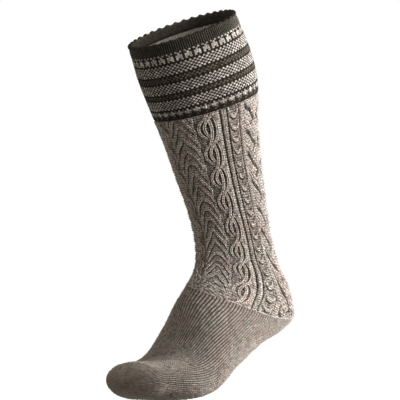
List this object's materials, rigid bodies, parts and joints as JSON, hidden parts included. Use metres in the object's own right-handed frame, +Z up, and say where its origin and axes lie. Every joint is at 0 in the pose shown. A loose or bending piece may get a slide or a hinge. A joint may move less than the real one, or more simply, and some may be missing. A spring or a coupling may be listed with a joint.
{
  "type": "knee-high wool sock",
  "caption": "Knee-high wool sock in worn form on a raised heel: ribbed scalloped welt, patterned cuff, cabled leg and plain closed foot.",
  "frame": {"origin": "middle of the leg opening, where a leg holds the sock up", "axes": "+Z up, toes towards -Y, outer side of a left foot towards +X"},
  "size_m": [0.112, 0.2258, 0.3841],
  "materials": {
    "welt_wool": "dark ribbed wool",
    "cuff_wool": "two-colour stranded wool",
    "leg_wool": "heathered cabled wool",
    "foot_wool": "heathered plain knitted wool"
  },
  "bodies": {
    "root": {"welt": "welt_wool", "cuff": "cuff_wool", "leg": "leg_wool", "foot": "foot_wool", "toe": "foot_wool"}
  },
  "joints": []
}
